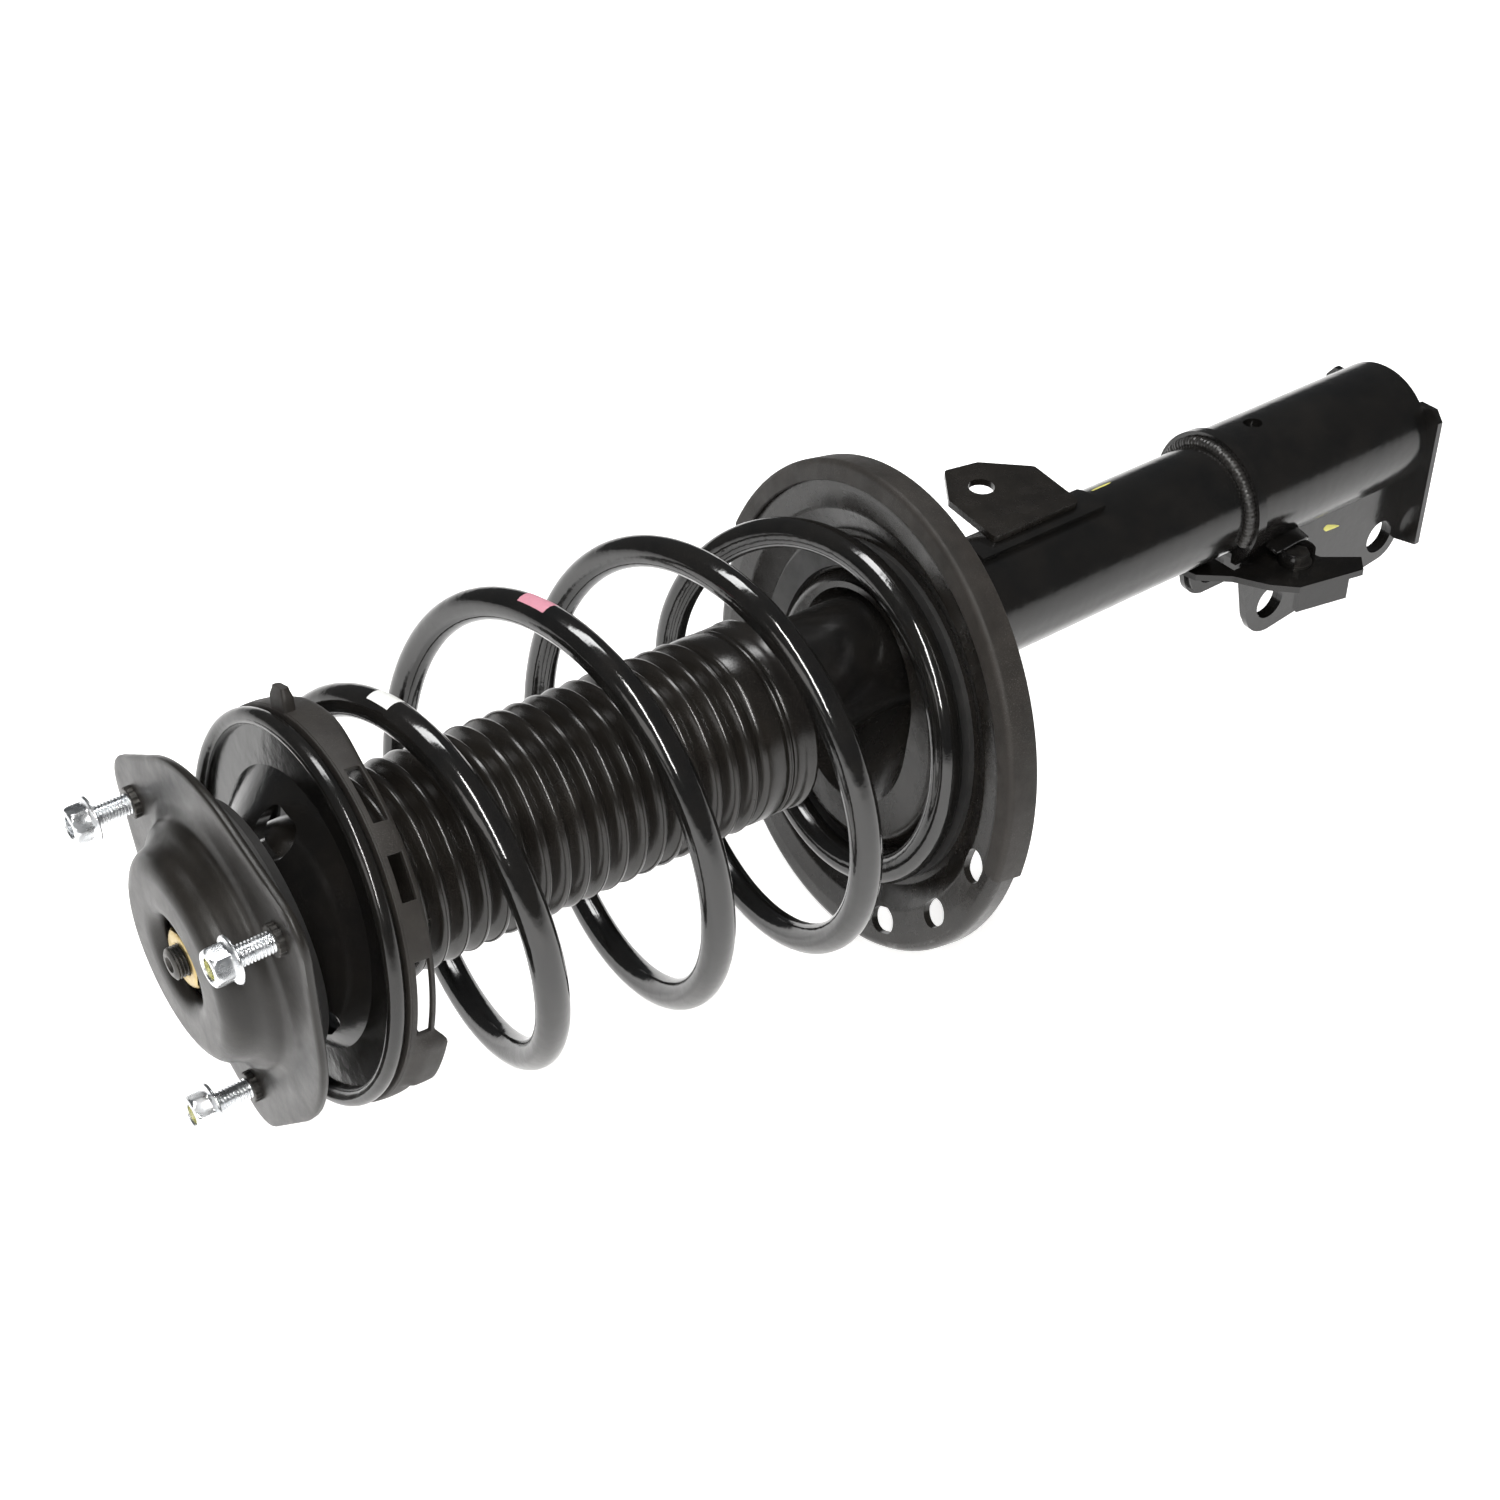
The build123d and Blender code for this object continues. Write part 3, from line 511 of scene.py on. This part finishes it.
# rod: threaded nose, shaft, tail
n = 40
rings = [around_x(-17.9, 0.4, n), around_x(-17.9, 2.0, n), around_x(-19.4, 3.1, n),
         around_x(-19.4, 4.6, n)]
rings += thread_rings(-18.6, 6.2, 5.95, n=n)
rings += [around_x(7.5, 5.6, n), around_x(7.5, 9.6, n), around_x(7.9, 10.0, n)]
rings += [around_x(x, 10.0, n) for x in (60, 120, 180, 240, 269.5)]
rings += [around_x(270, 9.6, n), around_x(270, 6.0, n), around_x(299.4, 6.0, n),
          around_x(300, 5.3, n)]
rod = stack("rod_shaft", rings, CHROME, angle=40)
rod.data.materials.append(DARK_STEEL)
nose_end = 7.2 * MM
for poly in rod.data.polygons:
    if poly.center.x < nose_end:
        poly.material_index = 1
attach(rod, "rod")
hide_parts("piston_rod")

n = 72
hexa = hex_radius(10.4, 0.2)
rings = [around_x(-14.4, 6.0, n), around_x(-14.9, 6.7, n), around_x(-14.95, 8.8, n)]
for x, lim in ((-14.8, 9.9), (-14.4, 10.7), (-13.9, 11.3), (-13.2, 11.9)):
    rings.append(around_x(x, lambda a, lim=lim: min(hexa(a), lim), n))
rings += [around_x(-7.2, hexa, n), around_x(-6.3, lambda a: min(hexa(a), 11.2), n),
          around_x(-6.02, lambda a: min(hexa(a), 10.3), n), around_x(-6.02, 6.0, n)]
nut = stack("rod_nut_hex", rings, GOLD, closed=True, angle=28)
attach(nut, "rod")
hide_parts("rod_nut")

# ------------------------------------------------------------------ upper insulator
# openings in the skirt: from and to this angle, from and to this depth
windows = [(108, 125, 2.9, 8.1), (134, 147, 2.9, 8.1), (163, 186, 2.9, 8.1),
           (268, 284, 2.9, 7.6), (330, 346, 2.9, 7.6)]


def lug_share(deg):
    """1 on the skirt's lug, 0 away from it."""
    return ease(deg, 186, 191) * (1 - ease(deg, 207, 212))


def skirt_end(deg):
    """How far the rubber skirt reaches from the ring at this angle."""
    high = ease(deg, 60, 72) * (1 - ease(deg, 84, 112))
    low = ease(deg, 221, 250) * (1 - ease(deg, 330, 360))
    return 9.6 + 3.6 * high + 4.6 * lug_share(deg) - 0.6 * low


SKIRT_START, SKIRT_R = 0.9, 72.2
step = 1.0
angles = np.arange(0, 360, step)
rows_x = np.linspace(0, 1, 19)
verts, faces = [], []
for deg in angles:
    out = TOP_E1 * math.cos(math.radians(deg)) + TOP_E2 * math.sin(math.radians(deg))
    end = skirt_end(deg)
    for t in rows_x:
        x = SKIRT_START + (end - SKIRT_START) * t
        r = (SKIRT_R + 0.3 * math.sin(math.pi * t) + 2.6 * lug_share(deg) * ease(x, 2.0, 7.0)
             - 0.5 * ease(t, 0.9, 1.0))
        verts.append(tuple(TOP_O + TOP_AX * x + out * r))
cols = len(rows_x)
for i, deg in enumerate(angles):
    for j in range(cols - 1):
        mid = (deg + step / 2) % 360
        x = SKIRT_START + (skirt_end(mid) - SKIRT_START) * (rows_x[j] + rows_x[j + 1]) / 2
        if any(a0 < mid < a1 and x0 < x < x1 for a0, a1, x0, x1 in windows):
            continue
        k = (i + 1) % len(angles)
        faces.append((i * cols + j, k * cols + j, k * cols + j + 1, i * cols + j + 1))
skirt = finish_mesh("insulator_skirt", verts, faces, INSULATOR_RUBBER, 60)
thick = skirt.modifiers.new("wall", "SOLIDIFY")
thick.thickness = 1.9 * MM
thick.offset = 0.0
edge = skirt.modifiers.new("soft_edge", "BEVEL")
edge.width = 0.5 * MM
edge.segments = 3
edge.limit_method = "ANGLE"
edge.angle_limit = math.radians(50)
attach(skirt, "rod")
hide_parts("upper_insulator")
base = lathe("insulator_base", rounded([(0.12, 54), (2.3, 54.3), (2.3, 72.6), (0.12, 73.2)], 0.8),
             INSULATOR_RUBBER, 120, origin=TOP_O, slope=TOP_SLOPE)
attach(base, "rod")


def top_block(name, deg, r0, r1, wide, low_x, high_x, soft):
    """A soft-edged block standing on the insulator ring."""
    a = math.radians(deg)
    out = TOP_E1 * math.cos(a) + TOP_E2 * math.sin(a)
    side = np.cross(TOP_AX, out)
    rings = []
    for t in np.linspace(0, 1, 9):
        r = r0 + (r1 - r0) * t
        slim = 1 - 0.30 * ease(t, 0.55, 1.0)
        mid, h, w = (low_x + high_x) / 2, (high_x - low_x) / 2 * slim, wide / 2 * slim
        rings.append([tuple(TOP_O + out * r + TOP_AX * (mid + px) + side * py) for px, py in
                      rounded([(-h, -w), (h, -w), (h, w), (-h, w)], soft, 4)])
    block = stack(name, rings, INSULATOR_RUBBER, angle=50)
    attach(block, "rod")


top_block("insulator_tab", 75, 72.0, 81.0, 11.0, 0.2, 4.8, 1.4)
top_block("insulator_wire_stop", -160, 59.0, 70.8, 8.0, 2.0, 11.5, 1.6)

# ------------------------------------------------------------------ dust boot
BOOT_PIVOT, BOOT_DROOP, BOOT_FOLLOW = 36, 1.9, 0.62
boot_line = [(-20, 22.2), (-13.4, 26.8), (-9, 29.6), (-5, 31.0), (1.0, 31.3), (6.5, 31.9),
             (8.8, 33.2)]
pitch, first, ridges = 8.45, 14.2, 19
samples = 12
for i in range(ridges * samples + 1):
    s = first - pitch / 2 + pitch * i / samples
    phase = i / samples - 0.5
    c = 0.5 + 0.5 * math.cos(TAU * phase)
    if s > first + (ridges - 1) * pitch + 0.1:
        c = max(c, 0.62 + 0.2 * math.cos(TAU * phase))
    boot_line.append((s, 34.1 + 4.3 * c ** 0.8))
boot_line += [(171.5, 37.4), (173, 37.9), (180, 38.0), (181.6, 37.9), (182.3, 37.2), (183.1, 37.9),
              (184.2, 38.0), (185.0, 37.2), (186.0, 37.9), (190, 38.0), (193.4, 37.9),
              (194.2, 38.4), (195.4, 38.4), (196.0, 37.7)]
half = 0.75
pts = np.array(boot_line)
tang = np.gradient(pts, axis=0)
tang /= np.linalg.norm(tang, axis=1)[:, None]
nrm = np.c_[-tang[:, 1], tang[:, 0]]
nrm[nrm[:, 1] < -0.2] *= -1
section = [tuple(p) for p in pts + nrm * half * 0.8] + [tuple(p) for p in (pts - nrm * half)[::-1]]
boot = lathe("dust_boot_bellows", section, BOOT_RUBBER, 120, origin=(BOOT_PIVOT, 0, 0),
             slope=(0.0, -math.tan(math.radians(BOOT_DROOP))), angle=70)
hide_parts("dust_boot")
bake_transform(boot)
co = np.empty(len(boot.data.vertices) * 3)
boot.data.vertices.foreach_get("co", co)
along = co.reshape(-1, 3)[:, 0]
folds_start, folds_end = 0.048, 0.204  # as in the call above
follow = BOOT_FOLLOW * np.clip((along - folds_start) / (folds_end - folds_start), 0, 1)

# ------------------------------------------------------------------ coil spring
WIRE, COIL_START, COIL_END = 6.2, -148.0, 1375.0
COIL_R, COIL_FLARE, COIL_PITCH = 82.48, 0.028, 66.89
COIL_LEAN = (0.9965, -0.0838)
TOP_TURN_R, SEAT_TURN_R, SEAT_TURN_DEPTH = 64.5, 65.09, 6.68
# where the paint dabs are: the turn, and the side of the wire that they face
WHITE_AT = (87.5, (0.30, 0.55, 0.78))
PINK_AT = (444.5, (0.30, 0.55, 0.78))


def wire_point(turn):
    """Centre of the wire at this angle: a closed first turn, open turns, a closed last turn."""
    c, n = math.cos(math.radians(turn)), math.sin(math.radians(turn))
    lean_x, lean_z = COIL_LEAN
    along = 51.3 - 160 + COIL_PITCH * turn / 360
    r = COIL_R + COIL_FLARE * along
    free = (np.array([160, 0, -10.05]) + np.array([lean_x, 0, lean_z]) * along
            + np.array([-lean_z * n, c, lean_x * n]) * r)
    climb = turn + 105 if turn >= -60 else (turn + 150) ** 2 / 180 if turn > -150 else 0
    top = TOP_O + (TOP_E1 * c + TOP_E2 * n) * TOP_TURN_R + TOP_AX * (8.9 + 0.1283 * climb)
    foot = SEAT_O + (SEAT_E1 * c + SEAT_E2 * n) * SEAT_TURN_R - SEAT_AX * SEAT_TURN_DEPTH
    leave, land = ease(turn, 15.1, 244.0), ease(turn, 1074.3, 1192.6)
    return (top * (1 - leave) + free * leave) * (1 - land) + foot * land


count = 660
turns = np.linspace(COIL_START, COIL_END, count)
line = np.array([wire_point(t) for t in turns])
tang = np.gradient(line, axis=0)
tang /= np.linalg.norm(tang, axis=1)[:, None]
sides = 22
rings = []
for i in range(count):
    centre = line[i]
    out = np.array([0, math.cos(math.radians(turns[i])), math.sin(math.radians(turns[i]))])
    out = out - tang[i] * (out @ tang[i])
    out /= np.linalg.norm(out)
    side = np.cross(tang[i], out)
    rings.append([tuple(centre + WIRE * (out * math.cos(TAU * j / sides)
                                         + side * math.sin(TAU * j / sides)))
                  for j in range(sides)])
for end, direction in ((0, -1), (count - 1, 1)):
    centre, ring = line[end], np.array(rings[0] if end == 0 else rings[-1])
    extra = []
    for shrink, push in ((0.97, 0.35), (0.88, 0.75), (0.72, 0.95)):
        extra.append([tuple(p) for p in
                      centre + (ring - centre) * shrink + tang[end] * direction * push])
    rings = extra[::-1] + rings if end == 0 else rings + extra
coil = stack("coil_spring_wire", rings, COIL_BLACK, angle=50)
coil.data.materials.append(WHITE_PAINT)
coil.data.materials.append(PINK_PAINT)
for poly in coil.data.polygons:
    c = np.array(poly.center / MM)
    for index, (turn, facing), lengthwise in ((1, WHITE_AT, 6.5), (2, PINK_AT, 6.0)):
        j = int(np.argmin(np.abs(turns - turn)))
        away = c - line[j]
        if abs(away @ tang[j]) < lengthwise and np.linalg.norm(away) < 9.5:
            out_dir = away - tang[j] * (away @ tang[j])
            if out_dir @ np.array(facing) > 0.5 * np.linalg.norm(out_dir):
                poly.material_index = index
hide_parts("coil_spring")
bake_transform(coil)
co = np.empty(len(coil.data.vertices) * 3)
coil.data.vertices.foreach_get("co", co)
co = co.reshape(-1, 3) / MM
follow = np.empty(len(co))
axis_z = COIL_LEAN[1] * np.maximum(0, co[:, 0] - 40)
CLOSES_FROM, CLOSES_TO = 70, 1230
for i, p in enumerate(co):
    # the nearest point of the wire, looked for on each turn at this point's own angle
    base_angle = math.degrees(math.atan2(p[2] - axis_z[i], p[1]))
    best, gap = 0.0, 1e9
    for k in range(-1, 5):
        t = base_angle + 360 * k
        if t < COIL_START - 8 or t > COIL_END + 8:
            continue
        j = int(round((min(max(t, COIL_START), COIL_END) - COIL_START)
                      / (COIL_END - COIL_START) * (count - 1)))
        lo, hi = max(0, j - 12), min(count, j + 13)
        d = np.linalg.norm(line[lo:hi] - p, axis=1)
        if d.min() < gap:
            gap, best = d.min(), turns[lo + int(d.argmin())]
    follow[i] = min(1.0, max(0.0, (best - CLOSES_FROM) / (CLOSES_TO - CLOSES_FROM)))

# ------------------------------------------------------------------ rubber edging on the seat's rim
section = rounded([(-6.2, 94.6), (-6.0, 101.8), (-4.6, 103.4), (6.7, 103.4), (6.7, 101.25),
                   (-4.15, 101.25), (-4.15, 94.6)], [0.9, 1.4, 1.4, 0.7, 0.3, 0.3, 0.5], 4)
guard = lathe("seat_edge_rubber", section, GUARD_RUBBER, 150, origin=tuple(SEAT_O),
              slope=SEAT_SLOPE, start=math.radians(22), sweep=math.radians(167), angle=45)
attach(guard, "tube")
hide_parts("seat_edge_guard")


# ------------------------------------------------------------------ weld beads
def bead(name, path, radius, body, replaced, seed):
    """A weld bead: a lumpy half-round run with the ripples of its passes."""
    pts = np.array(path, float)
    tan = np.gradient(pts, axis=0)
    tan /= np.linalg.norm(tan, axis=1)[:, None]
    length = np.r_[0, np.cumsum(np.linalg.norm(np.diff(pts, axis=0), axis=1))]
    out = []
    for i, p in enumerate(pts):
        up = np.array([0, p[1], p[2]])
        up /= np.linalg.norm(up)
        up = up - tan[i] * (up @ tan[i])
        up /= np.linalg.norm(up)
        side = np.cross(tan[i], up)
        s = length[i]
        ripple = 1 + 0.07 * math.sin(s * 3.4 + seed) + 0.05 * math.sin(s * 1.3 + 2 * seed)
        taper = min(1.0, 0.35 + s / 3.0, 0.35 + (length[-1] - s) / 3.0)
        out.append([tuple(p + radius * ripple * taper * (up * math.cos(TAU * j / 14)
                                                         + side * math.sin(TAU * j / 14)))
                    for j in range(14)])
    obj = stack(name, out, WELD, angle=80)
    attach(obj, body)
    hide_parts(replaced)


def tube_arc(x, start, end, count):
    """Points round the tube, just outside its wall."""
    r = TUBE_R + 0.8
    return [(x, r * math.cos(a), r * math.sin(a))
            for a in np.radians(np.linspace(start, end, count))]


bead("collar_weld_bead", tube_arc(479.0, -28, 208, 260), 2.6, "tube", "collar_weld", 1.0)
bead("seat_weld_bead", tube_arc(317.0, 0, 359, 320), 2.3, "tube", "seat_weld", 2.0)

# ------------------------------------------------------------------ clip on the hose plate's bolt
rings = []
for a in np.radians(np.linspace(-35, 215, 44)):
    c, n = math.cos(a), math.sin(a)
    rings.append([(BOLT_AT[0] + r * c, BOLT_AT[1] + r * n, z) for r, z in (
        (6.9, -25.8), (8.0, -25.8), (8.3, -25.3), (8.0, -18.9), (7.7, -18.5), (7.2, -18.5),
        (6.9, -18.9))])
clip = stack("hose_clip_ring", rings, GLOSS_BLACK, angle=40)
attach(clip, "tube")
rings = []
for t in np.linspace(0, 1, 14):
    x, droop = 496.5 + 20.5 * t, 2.6 * abs(2 * t - 1) ** 2.2
    wide = 1 - 0.35 * abs(2 * t - 1) ** 3
    rings.append([(x, -26.0 + y * wide, z - droop) for y, z in (
        (-5.4, -17.0), (-5.0, -16.4), (4.4, -14.9), (5.0, -15.3), (5.0, -16.6), (4.4, -17.0),
        (-5.0, -18.2), (-5.4, -17.8))])
lug = stack("hose_clip_lug", rings, GLOSS_BLACK, angle=35)
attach(lug, "tube")

# ------------------------------------------------------------------ paint marks
def patch(name, x0, x1, a0, a1, r, material, body):
    """A thin dab of paint lying on a round surface."""
    verts, faces = [], []
    nx, na = 10, 8
    for layer in (0, 1):
        for i in range(nx):
            for j in range(na):
                t, u = i / (nx - 1), j / (na - 1)
                edge_in = 0.0 if layer == 0 else 0.10
                t2 = 0.5 + (t - 0.5) * (1 - edge_in) * (1 - 0.18 * abs(2 * u - 1) ** 3)
                u2 = 0.5 + (u - 0.5) * (1 - edge_in) * (1 - 0.25 * abs(2 * t - 1) ** 3)
                a = math.radians(a0 + (a1 - a0) * u2)
                rad = r + (0.0 if layer == 0 else 0.09)
                verts.append((x0 + (x1 - x0) * t2, rad * math.cos(a), rad * math.sin(a)))
    top = nx * na
    for i in range(nx - 1):
        for j in range(na - 1):
            q = i * na + j
            faces.append((q, q + 1, q + na + 1, q + na))
            faces.append((top + q, top + q + na, top + q + na + 1, top + q + 1))
    rim = [i * na for i in range(nx)] + [(nx - 1) * na + j for j in range(1, na)]
    rim += [i * na + na - 1 for i in range(nx - 2, -1, -1)] + [j for j in range(na - 2, 0, -1)]
    for i, q in enumerate(rim):
        w = rim[(i + 1) % len(rim)]
        faces.append((q, w, top + w, top + q))
    obj = finish_mesh(name, verts, faces, material, 60)
    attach(obj, body)
    return obj


dash = patch("tube_paint_dash", 415, 426, 70.5, 73.5, TUBE_R + 0.02, YELLOW_PAINT, "tube")
rings = []
for t in np.linspace(0, 1, 16):
    half = 2.1 * min(1.0, 0.15 + 5 * t) * (1 - t) ** 0.7 + 0.05
    x, z = 537.5 + 11 * t, -26.9 - 2.5 * t
    rings.append([(x, -20.98, z - half), (x, -21.07, z - half * 0.85), (x, -21.09, z),
                  (x, -21.07, z + half * 0.85), (x, -20.98, z + half)])
flick = stack("ear_paint_flick", rings, YELLOW_PAINT, angle=60)
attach(flick, "tube")

# ------------------------------------------------------------------ floor, light and camera
low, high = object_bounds()
floor_mat = surface("pale_floor", (0.86, 0.86, 0.86), (0.88, 0.88, 0.88), (0.85, 0.95), patch=3,
                    fine=60, fine_bump=0.01)
glow = floor_mat.node_tree.nodes["Principled BSDF"]
glow.inputs["Emission Color"].default_value = (1.0, 0.99, 0.98, 1)
glow.inputs["Emission Strength"].default_value = 0.80
floor_z = low.z - 0.0005
size = 40.0  # half of the floor's side, in metres
floor_mesh = bpy.data.meshes.new("floor")
floor_mesh.from_pydata([(-size, -size, floor_z), (size, -size, floor_z), (size, size, floor_z),
                        (-size, size, floor_z)], [], [(0, 1, 2, 3)])
floor_mesh.materials.append(floor_mat)
floor = bpy.data.objects.new("floor", floor_mesh)
scene.collection.objects.link(floor)
floor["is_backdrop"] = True
# a round wall far off, seen by the camera only, so that the floor doesn't end in the dark
wall_r, wall_top, wall_sides = 18.0, 14.0, 96
around = [TAU * k / wall_sides for k in range(wall_sides)]
wall_mesh = bpy.data.meshes.new("backdrop")
wall_mesh.from_pydata([(wall_r * math.cos(a), wall_r * math.sin(a), z)
                       for z in (floor_z, wall_top) for a in around], [],
                      grid_faces(2, wall_sides))
wall_mesh.materials.append(floor_mat)
wall = bpy.data.objects.new("backdrop", wall_mesh)
for ray in ("diffuse", "glossy", "transmission", "shadow"):
    setattr(wall, "visible_" + ray, False)
scene.collection.objects.link(wall)
wall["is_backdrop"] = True

world = bpy.data.worlds.new("studio")
world.use_nodes = True
world.node_tree.nodes["Background"].inputs[0].default_value = (0.90, 0.95, 1.0, 1)
world.node_tree.nodes["Background"].inputs[1].default_value = 0.09
scene.world = world


def area(name, place, wide, tall, power, colour=(1, 1, 1)):
    """A rectangular lamp aimed at the middle of the strut."""
    data = bpy.data.lights.new(name, "AREA")
    data.shape = "RECTANGLE"
    data.size, data.size_y = wide, tall
    data.energy = power
    data.color = colour
    obj = bpy.data.objects.new(name, data)
    obj.location = place
    direction = Vector((0.28, 0.0, 0.0)) - Vector(place)
    obj.rotation_euler = direction.to_track_quat("-Z", "Y").to_euler()
    scene.collection.objects.link(obj)


area("overhead", (0.30, 0.55, 1.60), 1.3, 0.36, 20)
area("strip", (-0.35, -0.75, 1.25), 0.08, 1.5, 26, (1.0, 0.99, 0.97))
area("fill", (-1.3, -0.4, 0.6), 0.7, 0.7, 3.0, (1.0, 0.97, 0.94))

camera_data = bpy.data.cameras.new("camera")
camera_data.sensor_width = 36.0
camera_data.lens = 57.6
camera_data.clip_start = 0.01
camera = bpy.data.objects.new("camera", camera_data)
camera.location = (-0.2253, -0.5994, 0.5554)
camera.rotation_euler = (math.radians(90) - 0.6555, 0.0, 0.9232 - math.radians(90))
scene.collection.objects.link(camera)
scene.camera = camera

low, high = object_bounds()
